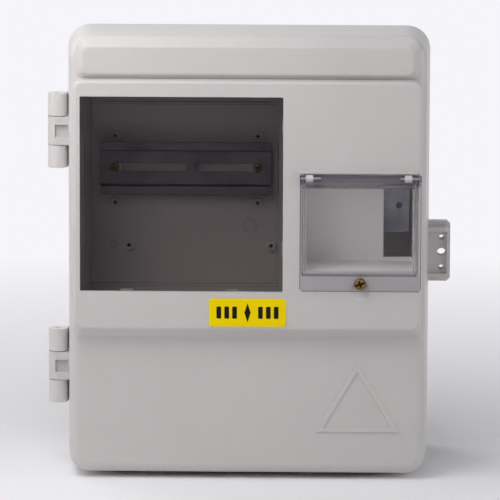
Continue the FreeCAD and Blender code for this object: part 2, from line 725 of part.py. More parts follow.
def window_clips():
    """Two cleats under the pane and two at its right edge."""
    clips = []
    for share in (0.23, 0.75):
        x = WIN_LEFT + share * (WIN_RIGHT - WIN_LEFT) - CLIP_W / 2.0
        clips.append(clip_profile(V(1, 0, 0), V(0, 0, -1), V(x, 0, WIN_LOW_Z)))
    for share in (0.22, 0.84):
        z = WIN_LOW_Z + share * (WIN_HIGH_Z - WIN_LOW_Z) - CLIP_W / 2.0
        clips.append(clip_profile(V(0, 0, 1), V(1, 0, 0), V(WIN_RIGHT, 0, z)))
    return Part.makeCompound(clips)


def flap_notches():
    """Spaces in the flap for the lugs of the door."""
    g = LUG_SIDE_GAP
    return [block(x0 - g, x1 + g, FLAP_AXIS_Y - FLAP_RISE, Y_MAIN, FLAP_BOX_HIGH_Z,
                  FLAP_AXIS_Z + FLAP_BARREL_R + 1.0) for x0, x1 in lug_limits()]


def flap_limits(side, low, high):
    """Rectangle in the raised box as (x0, x1, z0, z1), set in from the edges of the box."""
    return (FLAP_LEFT + FLAP_BOX_LEFT + side, FLAP_RIGHT - FLAP_BOX_RIGHT - side,
            FLAP_BOX_LOW_Z + low, FLAP_BOX_HIGH_Z - high)


def breaker_flap():
    """Clear cover: hinge barrel, raised box and a lower flange with the screw collar."""
    base = plate(FLAP_LEFT, FLAP_RIGHT, FLAP_LOW_Z, FLAP_AXIS_Z, FLAP_CORNER, FLAP_BACK_Y, FLAP_FACE_Y)
    barrel = rod_x(FLAP_LEFT, FLAP_RIGHT, FLAP_AXIS_Y, FLAP_AXIS_Z, FLAP_BARREL_R)
    d = FLAP_BOX_DRAFT
    t = FLAP_BOX_WALL
    front = Y_MAIN - FLAP_RISE
    box = drafted(flap_limits(d, d, d), flap_limits(0.0, 0.0, 0.0), front, FLAP_BACK_Y - 0.5,
                  FLAP_CORNER, FLAP_CORNER)
    box = round_edges(box, 1.0, on_plane(front))
    hollow = drafted(flap_limits(t + d, t + d, t + d), flap_limits(t, t, t), front + t,
                     FLAP_BACK_Y + 1.0, 1.0, 1.0)
    i = FLAP_PAD_INSET
    pad = plate(FLAP_LEFT + i, FLAP_RIGHT - i, FLAP_LOW_Z + i / 2.0, FLAP_BOX_LOW_Z + 1.0, 1.5,
                FLAP_FACE_Y, FLAP_PAD_Y)
    collar = rod_y(FLAP_MID_X, SEAL_Z, COLLAR_R, FLAP_FACE_Y, FLAP_PAD_Y)
    flap = base.fuse([barrel, box, pad, collar])
    cuts = [hollow] + flap_notches()
    bore = PIVOT_R + FIXED_FIT
    reach = PIVOT_LEN + 0.5
    cuts.append(rod_x(FLAP_LEFT - 1.0, FLAP_LEFT + reach, FLAP_AXIS_Y, FLAP_AXIS_Z, bore))
    cuts.append(rod_x(FLAP_RIGHT - reach, FLAP_RIGHT + 1.0, FLAP_AXIS_Y, FLAP_AXIS_Z, bore))
    cuts.append(rod_y(FLAP_MID_X, SEAL_Z, SEAL_SHANK_R + FIXED_FIT, FLAP_BACK_Y + 1.0, FLAP_PAD_Y - 1.0))
    cuts.append(rod_y(FLAP_MID_X, SEAL_Z, RETAINER_R + FIXED_FIT, FLAP_BACK_Y + 1.0, FLAP_BACK_Y - RETAINER_T))
    return flap.cut(cuts).removeSplitter()


def flap_pivot(x0):
    """Short pin of the flap hinge, from its left end."""
    return rod_x(x0, x0 + PIVOT_LEN, FLAP_AXIS_Y, FLAP_AXIS_Z, PIVOT_R)


def flap_screw():
    """Sealing screw with a low domed head."""
    tip = Y_MAIN + SEAL_ENTRY
    top = FLAP_PAD_Y - SEAL_HEAD_T
    r = SEAL_HEAD_R
    profile = [(0.0, tip), (SEAL_SHANK_R, tip), (SEAL_SHANK_R, FLAP_PAD_Y), (r, FLAP_PAD_Y),
               (r, top + 0.9), (r - 1.2, top), (0.0, top)]
    return turned_y(profile, FLAP_MID_X, SEAL_Z)


def flap_insert():
    """Brass bush in the door that takes the sealing screw."""
    outer = rod_y(FLAP_MID_X, SEAL_Z, INSERT_R, Y_MAIN + INSERT_LEN, Y_MAIN)
    return outer.cut(rod_y(FLAP_MID_X, SEAL_Z, INSERT_HOLE_R, Y_MAIN + INSERT_LEN - 1.5, Y_MAIN - 1.0))


def flap_screw_retainer():
    """Washer in the back of the flap that keeps the screw captive."""
    ring = rod_y(FLAP_MID_X, SEAL_Z, RETAINER_R, FLAP_BACK_Y, FLAP_BACK_Y - RETAINER_T)
    return ring.cut(rod_y(FLAP_MID_X, SEAL_Z, SEAL_SHANK_R + FIXED_FIT, FLAP_BACK_Y + 1.0, FLAP_FACE_Y))


def meter_rail():
    """Top-hat rail with two long slots in its web."""
    t = RAIL_T
    web = RAIL_WEB / 2.0
    half = RAIL_W / 2.0
    back = RAIL_BACK_Y
    front = back - RAIL_HIGH
    side = [(back, web), (front + t, web), (front + t, half), (front, half), (front, web - t),
            (back - t, web - t)]
    mirror = [(y, -z) for y, z in reversed(side)]
    x0 = RAIL_MID_X - RAIL_LEN / 2.0
    points = [V(x0, y, RAIL_Z + z) for y, z in side + mirror]
    rail = Part.Face(Part.makePolygon(points + points[:1])).extrude(V(RAIL_LEN, 0, 0))

    def inner_bend(edge):
        box = edge.BoundBox
        level = abs(abs(box.ZMin - RAIL_Z) - (web - t))
        return box.XLength > RAIL_LEN - 1.0 and level < 1e-4

    rail = round_edges(rail, 0.8, inner_bend)
    half_slot = RAIL_SLOT_W / 2.0
    spots = rail_screw_spots()
    start = spots[0][0] - half_slot - 0.6
    end = spots[1][0] + half_slot + 0.6
    reach = RAIL_SLOT_SHARE * (end - start - RAIL_SLOT_GAP)
    slots = [(start, start + reach), (start + reach + RAIL_SLOT_GAP, end)]
    return rail.cut([plate(a, b, RAIL_Z - half_slot, RAIL_Z + half_slot, half_slot - 0.01,
                           back + 1.0, back - t - 1.0) for a, b in slots])


def rail_screws(spots, seat):
    """Screws that hold a rail, with domed heads on the plane at seat."""
    screws = []
    r = RAIL_HEAD_R
    top = seat - RAIL_HEAD_T
    tip = seat + RAIL_T + RAIL_SCREW_IN
    profile = [(0.0, tip), (RAIL_SCREW_R, tip), (RAIL_SCREW_R, seat), (r, seat), (r, top + 0.8),
               (r - 1.1, top), (0.0, top)]
    for x, z in spots:
        screws.append(turned_y(profile, x, z))
    return Part.makeCompound(screws)


def breaker_rail():
    """Flat strip that carries a breaker behind the pocket, with a free hole at its end."""
    half = RAIL_W / 2.0
    front = STRIP_BACK_Y - STRIP_T
    strip = plate(STRIP_LEFT, STRIP_RIGHT, STRIP_Z - half, STRIP_Z + half, STRIP_CORNER, STRIP_BACK_Y, front)
    holes = [(STRIP_HOLE_X, STRIP_Z, STRIP_HOLE_R)]
    holes += [(x, z, RAIL_SCREW_R + FIXED_FIT) for x, z in strip_screw_spots()]
    return strip.cut([rod_y(x, z, r, STRIP_BACK_Y + 1.0, front - 1.0) for x, z, r in holes])


def hinge_pin(middle):
    """Pin through the three knuckles of one hinge."""
    levels = knuckle_levels(middle)
    return rod_z(HINGE_X, HINGE_Y, levels[0][0] + HINGE_PIN_SHORT, levels[2][1] - HINGE_PIN_SHORT, HINGE_PIN_R)


def grommet(x):
    """Rubber cable entry that grips the bottom wall."""
    recess = BASE_Z + ENTRY_RECESS_DEEP
    seat = BASE_Z + ENTRY_SEAT
    neck = ENTRY_HOLE_R - FIXED_FIT
    profile = [(GROMMET_BORE_R, recess - GROMMET_LIP_T), (GROMMET_LIP_R, recess - GROMMET_LIP_T),
               (GROMMET_LIP_R, recess), (neck, recess), (neck, seat), (GROMMET_CAP_R, seat),
               (GROMMET_BORE_R + 1.0, seat + GROMMET_CAP_T), (GROMMET_BORE_R, seat + GROMMET_CAP_T)]
    return turned(profile, x, -ENTRY_OUT)


def label_plate():
    """Bare adhesive plate on the raised face."""
    z0 = FACE_LOW_Z + LABEL_ABOVE_STEP
    return plate(LABEL_LEFT, LABEL_LEFT + LABEL_W, z0, z0 + LABEL_HIGH, LABEL_CORNER, Y_MAIN, Y_MAIN - LABEL_T)


def main():
    """Build every piece and write one file for each."""
    os.makedirs("parts", exist_ok=True)
    entries = entry_spots()
    pieces = {
        "rear_housing": rear_housing(),
        "door_shell": door_shell(),
        "door_gasket": door_gasket(),
        "meter_window": meter_window(),
        "window_clips": window_clips(),
        "breaker_flap": breaker_flap(),
        "flap_pivot_left": flap_pivot(FLAP_LEFT + 0.4),
        "flap_pivot_right": flap_pivot(FLAP_RIGHT - PIVOT_LEN - 0.4),
        "flap_screw": flap_screw(),
        "flap_insert": flap_insert(),
        "flap_screw_retainer": flap_screw_retainer(),
        "meter_rail": meter_rail(),
        "meter_rail_screws": rail_screws(rail_screw_spots(), RAIL_BACK_Y - RAIL_T),
        "breaker_rail": breaker_rail(),
        "breaker_rail_screws": rail_screws(strip_screw_spots(), STRIP_BACK_Y - STRIP_T),
        "upper_hinge_pin": hinge_pin(HINGE_UPPER_Z),
        "lower_hinge_pin": hinge_pin(HINGE_LOWER_Z),
        "grommet_left": grommet(entries[0]),
        "grommet_centre": grommet(entries[1]),
        "grommet_right": grommet(entries[2]),
        "label_plate": label_plate(),
    }
    for name, shape in pieces.items():
        shape.exportStep("parts/" + name + ".step")
        print(name, "valid", shape.isValid(), "solids", len(shape.Solids), "volume", round(shape.Volume, 1))


main()
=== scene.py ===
"""Looks of a wall box for an electricity meter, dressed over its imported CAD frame."""

import logging
import math
from dataclasses import dataclass, field
from enum import Enum
from typing import Any, Dict, Iterable, List, Mapping, Optional, Sequence, Tuple, Union

import bmesh
import bpy
from mathutils import Matrix, Vector


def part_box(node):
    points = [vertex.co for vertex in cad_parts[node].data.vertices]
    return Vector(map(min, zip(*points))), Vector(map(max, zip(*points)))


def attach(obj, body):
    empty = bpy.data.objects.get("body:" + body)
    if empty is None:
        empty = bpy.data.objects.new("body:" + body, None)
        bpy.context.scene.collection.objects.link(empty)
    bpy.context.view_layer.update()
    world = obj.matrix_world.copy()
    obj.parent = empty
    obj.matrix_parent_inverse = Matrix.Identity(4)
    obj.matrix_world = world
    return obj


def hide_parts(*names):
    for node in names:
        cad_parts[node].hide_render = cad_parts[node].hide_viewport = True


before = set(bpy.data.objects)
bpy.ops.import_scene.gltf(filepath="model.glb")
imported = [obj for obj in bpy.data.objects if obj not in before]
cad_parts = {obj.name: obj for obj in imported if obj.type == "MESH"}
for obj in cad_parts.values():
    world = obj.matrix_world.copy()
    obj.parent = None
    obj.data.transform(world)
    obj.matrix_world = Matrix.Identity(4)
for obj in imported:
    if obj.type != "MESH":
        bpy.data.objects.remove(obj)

LOG = logging.getLogger("meter_box")
MM = 0.001
Colour = Tuple[float, float, float]
Point = Tuple[float, float, float]
Flat = Tuple[float, float]
Sides = Tuple[float, float, float, float]
Operand = Union["Signal", float, int]


def linear(red: int, green: int, blue: int) -> Colour:
    """Turn a display colour of 0 to 255 into linear light."""
    def channel(value: int) -> float:
        """Undo the display curve of one channel."""
        share = value / 255.0
        return share / 12.92 if share <= 0.04045 else ((share + 0.055) / 1.055) ** 2.4
    return channel(red), channel(green), channel(blue)


class Body(Enum):
    """Rigid bodies of the box."""

    HOUSING = "housing"
    DOOR = "door"
    FLAP = "flap"


class Slot(Enum):
    """Material slots of the record."""

    SHELL = "grey_shell"
    ZINC = "zinc_steel"
    BRASS = "brass_metal"
    FILM = "yellow_film"


class Drive(Enum):
    """Recesses in the heads of the screws."""

    CROSS = "cross"
    CROSS_AND_SLOT = "cross and slot"


class Signal:
    """One output socket, with operators that add Math nodes."""

    def __init__(self, graph: "Graph", socket: bpy.types.NodeSocket) -> None:
        """Keep the graph and the socket."""
        self.graph = graph
        self.socket = socket

    def _math(self, operation: str, first: Operand, second: Operand = 0.0) -> "Signal":
        """Add one Math node.

        Args:
            operation: Blender's name of the operation.
            first: Left operand.
            second: Right operand.

        Returns:
            The node's output.
        """
        node = self.graph.node("ShaderNodeMath", {"operation": operation}, {0: first, 1: second})
        return Signal(self.graph, node.outputs[0])

    def __add__(self, other: Operand) -> "Signal":
        """Sum."""
        return self._math("ADD", self, other)

    def __radd__(self, other: Operand) -> "Signal":
        """Sum, reflected."""
        return self._math("ADD", other, self)

    def __sub__(self, other: Operand) -> "Signal":
        """Difference."""
        return self._math("SUBTRACT", self, other)

    def __rsub__(self, other: Operand) -> "Signal":
        """Difference, reflected."""
        return self._math("SUBTRACT", other, self)

    def __mul__(self, other: Operand) -> "Signal":
        """Product."""
        return self._math("MULTIPLY", self, other)

    def __rmul__(self, other: Operand) -> "Signal":
        """Product, reflected."""
        return self._math("MULTIPLY", other, self)

    def __truediv__(self, other: Operand) -> "Signal":
        """Quotient."""
        return self._math("DIVIDE", self, other)

    def __rtruediv__(self, other: Operand) -> "Signal":
        """Quotient, reflected."""
        return self._math("DIVIDE", other, self)

    def __pow__(self, other: Operand) -> "Signal":
        """Power."""
        return self._math("POWER", self, other)

    def __rpow__(self, other: Operand) -> "Signal":
        """Power, reflected."""
        return self._math("POWER", other, self)

    def share(self) -> "Signal":
        """Value held between zero and one."""
        return self.largest(0.0).smallest(1.0)

    def smallest(self, other: Operand) -> "Signal":
        """Lower of two values."""
        return self._math("MINIMUM", self, other)

    def largest(self, other: Operand) -> "Signal":
        """Higher of two values."""
        return self._math("MAXIMUM", self, other)


class Graph:
    """Node tree of one material or of the world, built from code."""

    def __init__(self, name: str, world: bool = False) -> None:
        """Make an empty tree with an output node.

        Args:
            name: Name of the material or world.
            world: Whether the tree is the world's.
        """
        self.material = bpy.data.worlds.new(name) if world else bpy.data.materials.new(name)
        self.material.use_nodes = True
        self.tree = self.material.node_tree
        self.tree.nodes.clear()
        self.output = self.tree.nodes.new("ShaderNodeOutputWorld" if world else "ShaderNodeOutputMaterial")

    def node(self, kind: str, settings: Optional[Mapping[str, Any]] = None,
             sockets: Optional[Mapping[Union[str, int], Any]] = None) -> bpy.types.Node:
        """Add any node.

        Args:
            kind: Blender's type name of the node.
            settings: Attributes that are set first; "stops" fills a colour ramp.
            sockets: Values or links of the input sockets, by name or index.

        Returns:
            The new node.
        """
        node = self.tree.nodes.new(kind)
        for key, value in (settings or {}).items():
            if key == "stops":
                self._fill_ramp(node.color_ramp, value)
            else:
                setattr(node, key, value)
        for key, value in (sockets or {}).items():
            self._feed(node.inputs[key], value)
        return node

    def _feed(self, target: bpy.types.NodeSocket, value: Any) -> None:
        """Link a socket, or set its own value."""
        if isinstance(value, Signal):
            value = value.socket
        if isinstance(value, bpy.types.NodeSocket):
            self.tree.links.new(value, target)
        elif isinstance(value, tuple) and len(value) == 3 and target.type == "RGBA":
            target.default_value = (*value, 1.0)
        else:
            target.default_value = value

    @staticmethod
    def _fill_ramp(ramp: bpy.types.ColorRamp, stops: Sequence[Flat]) -> None:
        """Give a ramp grey stops of (place, level)."""
        while len(ramp.elements) < len(stops):
            ramp.elements.new(1.0)
        for element, (place, level) in zip(ramp.elements, stops):
            element.position = place
            element.color = (level, level, level, 1.0)

    def signal(self, node: bpy.types.Node, name: Union[str, int] = 0) -> Signal:
        """Wrap one output of a node."""
        return Signal(self, node.outputs[name])

    def coordinates(self) -> bpy.types.NodeSocket:
        """Coordinates that travel with the piece, in metres."""
        return self.node("ShaderNodeTexCoord").outputs["Object"]

    def axes(self) -> Tuple[Signal, Signal, Signal]:
        """X, Y and Z of the piece's own coordinates."""
        split = self.node("ShaderNodeSeparateXYZ", None, {0: self.coordinates()})
        return self.signal(split, 0), self.signal(split, 1), self.signal(split, 2)

    def stretched(self, scale: Point) -> bpy.types.NodeSocket:
        """Coordinates multiplied along each axis."""
        node = self.node("ShaderNodeVectorMath", {"operation": "MULTIPLY"}, {0: self.coordinates(), 1: scale})
        return node.outputs[0]

    def noise(self, scale: float, detail: float = 2.0, rough: float = 0.5,
              along: Optional[bpy.types.NodeSocket] = None) -> Signal:
        """Fractal noise.

        Args:
            scale: Features to the metre.
            detail: Octaves.
            rough: Weight of the finer octaves.
            along: Coordinates, or the piece's own.

        Returns:
            Noise of about 0 to 1.
        """
        source = along if along is not None else self.coordinates()
        node = self.node("ShaderNodeTexNoise", {"noise_dimensions": "3D"},
                         {"Vector": source, "Scale": scale, "Detail": detail, "Roughness": rough})
        return self.signal(node, 0)

    def ramp(self, value: Signal, stops: Sequence[Flat]) -> Signal:
        """Remap a value through grey stops."""
        node = self.node("ShaderNodeValToRGB", {"stops": stops}, {0: value})
        return self.signal(node, 0)

    def blend(self, factor: Signal, low: Any, high: Any) -> bpy.types.NodeSocket:
        """Mix two colours."""
        node = self.node("ShaderNodeMix", {"data_type": "RGBA"}, {0: factor, 6: low, 7: high})
        return node.outputs[2]

    def bump(self, height: Signal, depth: float,
             under: Optional[bpy.types.NodeSocket] = None) -> bpy.types.NodeSocket:
        """Normal from a height of 0 to 1 that is depth metres high."""
        sockets: Dict[Union[str, int], Any] = {"Height": height, "Distance": depth, "Strength": 1.0}
        if under is not None:
            sockets["Normal"] = under
        return self.node("ShaderNodeBump", None, sockets).outputs[0]

    def soft_edges(self, radius: float) -> bpy.types.NodeSocket:
        """Normal that rounds sharp edges."""
        return self.node("ShaderNodeBevel", {"samples": 4}, {"Radius": radius}).outputs[0]

    def seen_plainly(self) -> Signal:
        """One for rays from the camera, off gloss or through clear plastic."""
        path = self.node("ShaderNodeLightPath")
        seen = self.signal(path, "Is Camera Ray").largest(self.signal(path, "Is Glossy Ray"))
        return seen.largest(self.signal(path, "Is Transmission Ray"))

    def close(self, shader: bpy.types.Node) -> Union[bpy.types.Material, bpy.types.World]:
        """Link the last shader and hand over the material or world."""
        self.tree.links.new(shader.outputs[0], self.output.inputs["Surface"])
        return self.material


@dataclass(frozen=True)
class Zone:
    """Box with soft faces in a piece's own coordinates, open along the axes that it does not name."""

    limits: Tuple[Tuple[int, float, float], ...]
    share: float = 1.0
    soft: float = 0.0004

    def mask(self, places: Sequence[Signal]) -> Signal:
        """Share inside the box, falling to zero across its faces.

        Args:
            places: X, Y and Z of the piece.

        Returns:
            Zero outside and the share inside.
        """
        inside: Operand = self.share
        for axis, low, high in self.limits:
            enter = ((places[axis] - low) / self.soft).share()
            leave = ((high - places[axis]) / self.soft).share()
            inside = enter * leave * inside
        return inside


@dataclass(frozen=True)
class Ring:
    """Round patch about an axis along Y, between two Y planes; a disc if inner is zero."""

    x: float
    z: float
    inner: float
    outer: float
    span: Flat
    share: float = 1.0
    soft: float = 0.0002

    def mask(self, places: Sequence[Signal]) -> Signal:
        """Share inside the patch, falling to zero at its rims.

        Args:
            places: X, Y and Z of the piece.

        Returns:
            Zero outside and the share inside.
        """
        across = places[0] - self.x
        along = places[2] - self.z
        reach = (across * across + along * along) ** 0.5
        front, back = self.span
        inside = ((places[1] - front) / self.soft).share() * ((back - places[1]) / self.soft).share()
        inside = inside * ((self.outer - reach) / self.soft).share()
        if self.inner > 0.0:
            inside = inside * ((reach - self.inner) / self.soft).share()
        return inside * self.share


Patch = Union[Zone, Ring]


def covered(graph: Graph, patches: Sequence[Patch]) -> Signal:
    """Highest share of several patches.

    Args:
        graph: Graph to add to.
        patches: At least one patch.

    Returns:
        Zero outside all of them.
    """
    places = graph.axes()
    total = patches[0].mask(places)
    for patch in patches[1:]:
        total = total.largest(patch.mask(places))
    return total


@dataclass(frozen=True)
class Tone:
    """Colour that some patches of a moulding take."""

    colour: Colour
    patches: Tuple[Patch, ...]


@dataclass(frozen=True)
class MouldedPlastic:
    """Satin moulded plastic with a fine grain, faint mottling and shallow sink marks."""

    name: str
    colour: Colour
    roughness: float = 0.42
    mottle: float = 0.03
    grain: float = 9.0e-6
    sink_depth: float = 0.00016
    sinks: Tuple[Point, ...] = ()
    tones: Tuple[Tone, ...] = ()
    edge: float = 0.00035

    def _sink_field(self, graph: Graph) -> Signal:
        """Sum of round shallow dents.

        Args:
            graph: Graph to add to.

        Returns:
            Height of 1 on the plain surface and less in a dent.
        """
        x, _, z = graph.axes()
        depth: Optional[Signal] = None
        for centre_x, centre_z, radius in self.sinks:
            across = (x - centre_x) / radius
            along = (z - centre_z) / radius
            inside = (1.0 - (across * across + along * along)).largest(0.0)
            depth = inside * inside if depth is None else depth + inside * inside
        return 1.0 - depth

    def material(self) -> bpy.types.Material:
        """Build the material."""
        graph = Graph(self.name)
        broad = graph.noise(14.0, 3.0, 0.6)
        fine = graph.noise(420.0, 2.0, 0.6)
        shade = broad * 0.75 + fine * 0.25
        dark = tuple(c * (1.0 - self.mottle) for c in self.colour)
        light = tuple(min(1.0, c * (1.0 + self.mottle)) for c in self.colour)
        base = graph.blend(graph.ramp(shade, ((0.3, 0.0), (0.7, 1.0))), dark, light)
        for tone in self.tones:
            base = graph.blend(covered(graph, tone.patches), base, tone.colour)
        rough = self.roughness + (fine - 0.5) * 0.10 + (broad - 0.5) * 0.08
        normal = graph.soft_edges(self.edge)
        if self.sinks:
            normal = graph.bump(self._sink_field(graph), self.sink_depth, normal)
        normal = graph.bump(graph.noise(2600.0, 3.0, 0.65), self.grain, normal)
        shader = graph.node("ShaderNodeBsdfPrincipled", None,
                            {"Base Color": base, "Roughness": rough, "Normal": normal,
                             "IOR": 1.5, "Specular IOR Level": 0.45})
        return graph.close(shader)


@dataclass(frozen=True)
class ClearPlastic:
    """Polished see-through plastic, clear or smoked, that lets light through to what is behind it."""

    name: str
    tint: Colour
    deep: Colour
    bands: Tuple[Patch, ...]
    frosted: Tuple[Patch, ...]
    # Patches of painted shade: dark lines along edges and walls.
    thick: Tuple[Patch, ...]
    passed: Colour
    passed_deep: Colour
    ior: float
    haze: float
    haze_colour: Colour
    roughness: float = 0.02
    edge_shade_colour: Colour = (0.06, 0.058, 0.075)
    frost: float = 0.4
    edge: float = 0.0005

    def material(self) -> bpy.types.Material:
        """Build the material: deeper in colour where it is thick and in bands of painted shade, darker along
        lines of painted shade, and rougher along its frosted edges.
        """
        graph = Graph(self.name)
        smear = graph.noise(38.0, 4.0, 0.6)
        smudged = (smear - 0.45).largest(0.0) * 0.06
        rough = self.roughness + smudged + covered(graph, self.frosted) * self.frost
        depth = covered(graph, self.bands)
        tint = graph.blend(depth, self.tint, self.deep)
        # Painted shade: the thick patches darken the tint along edges and walls.
        tint = graph.blend(covered(graph, self.thick), tint, self.edge_shade_colour)
        normal = graph.soft_edges(self.edge)
        glass = graph.node("ShaderNodeBsdfPrincipled", None,
                           {"Base Color": tint, "Roughness": rough, "Normal": normal, "IOR": self.ior,
                            "Transmission Weight": 1.0})
        film = graph.node("ShaderNodeBsdfPrincipled", None,
                          {"Base Color": self.haze_colour, "Roughness": 0.35})
        hazed = graph.node("ShaderNodeMixShader", None,
                           {0: self.haze * graph.ramp(smear, ((0.25, 0.5), (0.75, 1.0))),
                            1: glass.outputs[0], 2: film.outputs[0]})
        thin = graph.node("ShaderNodeBsdfTransparent", None, {"Color": self.passed})
        thick = graph.node("ShaderNodeBsdfTransparent", None, {"Color": self.passed_deep})
        through = graph.node("ShaderNodeMixShader", None, {0: depth, 1: thin.outputs[0], 2: thick.outputs[0]})
        path = graph.node("ShaderNodeLightPath")
        shadow = graph.signal(path, "Is Shadow Ray").largest(graph.signal(path, "Is Diffuse Ray"))
        shader = graph.node("ShaderNodeMixShader", None,
                            {0: shadow, 1: hazed.outputs[0], 2: through.outputs[0]})
        return graph.close(shader)


@dataclass(frozen=True)
class Metal:
    """Plated or turned metal with fine drawn lines and dull patches."""

    name: str
    colour: Colour
    dull: Colour
    roughness: float
    lines: Point = (40.0, 900.0, 900.0)
    line_depth: float = 6.0e-6
    tones: Tuple[Tone, ...] = ()
    edge: float = 0.00015

    def material(self) -> bpy.types.Material:
        """Build the material."""
        graph = Graph(self.name)
        drawn = graph.noise(1.0, 3.0, 0.6, graph.stretched(self.lines))
        patch = graph.noise(60.0, 4.0, 0.6)
        spots = graph.ramp(patch, ((0.45, 0.0), (0.75, 1.0)))
        base = graph.blend(spots, self.colour, self.dull)
        for tone in self.tones:
            base = graph.blend(covered(graph, tone.patches), base, tone.colour)
        rough = self.roughness + spots * 0.16 + (drawn - 0.5) * 0.12
        normal = graph.bump(drawn, self.line_depth, graph.soft_edges(self.edge))
        shader = graph.node("ShaderNodeBsdfPrincipled", None,
                            {"Base Color": base, "Roughness": rough, "Normal": normal, "Metallic": 1.0})
        return graph.close(shader)


@dataclass(frozen=True)
class Rubber:
    """Dull rubber with a pale bloom in patches."""

    name: str
    colour: Colour = (0.018, 0.018, 0.019)
    bloom: Colour = (0.06, 0.06, 0.062)

    def material(self) -> bpy.types.Material:
        """Build the material."""
        graph = Graph(self.name)
        patch = graph.noise(90.0, 4.0, 0.6)
        base = graph.blend(graph.ramp(patch, ((0.4, 0.0), (0.8, 1.0))), self.colour, self.bloom)
        normal = graph.bump(graph.noise(1900.0, 2.0), 1.2e-5, graph.soft_edges(0.0004))
        shader = graph.node("ShaderNodeBsdfPrincipled", None,
                            {"Base Color": base, "Roughness": 0.62 + patch * 0.2, "Normal": normal})
        return graph.close(shader)


@dataclass(frozen=True)
class PrintedFilm:
    """Flat colour of a coated film or of ink on it, with a slight unevenness."""

    name: str
    colour: Colour
    roughness: float = 0.3
    gloss: float = 0.08

    def material(self) -> bpy.types.Material:
        """Build the material."""
        graph = Graph(self.name)
        wave = graph.noise(70.0, 3.0, 0.55)
        deep = tuple(c * 0.93 for c in self.colour)
        base = graph.blend(wave, deep, self.colour)
        normal = graph.bump(wave, 4.0e-5)
        shader = graph.node("ShaderNodeBsdfPrincipled", None,
                            {"Base Color": base, "Roughness": self.roughness + wave * 0.12, "Normal": normal,
                             "Specular IOR Level": self.gloss})
        return graph.close(shader)


@dataclass(frozen=True)
class FloorPaper:
    """Pale paper that holds the shadow near the box and turns to a plain pale ground further off."""

    name: str = "floor_paper"
    paper: Colour = (0.92, 0.915, 0.93)
    ground: Colour = linear(246, 245, 250)
    near: float = 0.13
    far: float = 0.75
    fade: float = 0.7

    def material(self) -> bpy.types.Material:
        """Build the material."""
        graph = Graph(self.name)
        fibre = graph.noise(300.0, 3.0, 0.6)
        tone = graph.blend(fibre, tuple(c * 0.985 for c in self.paper), self.paper)
        matt = graph.node("ShaderNodeBsdfPrincipled", None,
                          {"Base Color": tone, "Roughness": 0.8 + fibre * 0.1, "Specular IOR Level": 0.1})
        plain = graph.node("ShaderNodeEmission", None, {"Color": self.ground, "Strength": 1.0})
        x, y, _ = graph.axes()
        reach = (x * x + y * y) ** 0.5
        share = ((reach - self.near) / (self.far - self.near)).largest(0.0).smallest(1.0)
        seen = graph.seen_plainly() * share ** self.fade
        shader = graph.node("ShaderNodeMixShader", None, {0: seen, 1: matt.outputs[0], 2: plain.outputs[0]})
        return graph.close(shader)


def cad(name: str) -> bpy.types.Object:
    """CAD node by its name."""
    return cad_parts[name]


def dress(names: Iterable[str], material: bpy.types.Material) -> None:
    """Give CAD nodes one material."""
    for name in names:
        node = cad(name)
        node.data.materials.clear()
        node.data.materials.append(material)


class Piece:
    """Mesh under construction, in metres of the row frame."""

    def __init__(self, name: str) -> None:
        """Start an empty mesh."""
        self.name = name
        self.mesh = bmesh.new()

    def prism(self, outline: Sequence[Flat], y_back: float, y_front: float) -> None:
        """Extrude a closed XZ outline along Y.

        Args:
            outline: Points in order.
            y_back: Back plane.
            y_front: Front plane.
        """
        back = [self.mesh.verts.new((x, y_back, z)) for x, z in outline]
        front = [self.mesh.verts.new((x, y_front, z)) for x, z in outline]
        count = len(outline)
        self.mesh.faces.new(back)
        self.mesh.faces.new(list(reversed(front)))
        for i in range(count):
            j = (i + 1) % count
            self.mesh.faces.new((back[j], back[i], front[i], front[j]))

    def rings(self, loops: Sequence[Sequence[Vector]], closed: bool = False) -> None:
        """Skin a row of rings of equal length.

        Args:
            loops: Rings of points in order.
            closed: Whether the last ring joins the first; otherwise both ends are capped.
        """
        rows = [[self.mesh.verts.new(point) for point in loop] for loop in loops]
        count = len(rows[0])
        pairs = list(zip(rows, rows[1:]))
        if closed:
            pairs.append((rows[-1], rows[0]))
        for low, high in pairs:
            for i in range(count):
                j = (i + 1) % count
                self.mesh.faces.new((low[i], low[j], high[j], high[i]))
        if not closed:
            self.mesh.faces.new(list(reversed(rows[0])))
            self.mesh.faces.new(rows[-1])

    def build(self, material: bpy.types.Material, body: Body, slot: Slot,
              smooth: float = 35.0) -> bpy.types.Object:
        """Turn the mesh into an object of the scene.

        Args:
            material: Finish.
            body: Rigid body that carries it.
            slot: Material slot of the record; not used.
            smooth: Angle in degrees under which faces shade smoothly.

        Returns:
            The new object.
        """
        bmesh.ops.remove_doubles(self.mesh, verts=self.mesh.verts, dist=1e-7)
        bmesh.ops.recalc_face_normals(self.mesh, faces=self.mesh.faces)
        data = bpy.data.meshes.new(self.name)
        self.mesh.to_mesh(data)
        self.mesh.free()
        data.materials.append(material)
        piece = bpy.data.objects.new(self.name, data)
        bpy.context.scene.collection.objects.link(piece)
        data.shade_smooth()
        data.set_sharp_from_angle(angle=math.radians(smooth))
        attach(piece, body.value)
        return piece


def circle(radius: float, count: int) -> List[Flat]:
    """Points of a circle about the origin."""
    return [(radius * math.cos(2.0 * math.pi * i / count),
             radius * math.sin(2.0 * math.pi * i / count)) for i in range(count)]


def centre_of(name: str) -> Vector:
    """Middle of a CAD node's box."""
    low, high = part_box(name)
    return (low + high) / 2.0


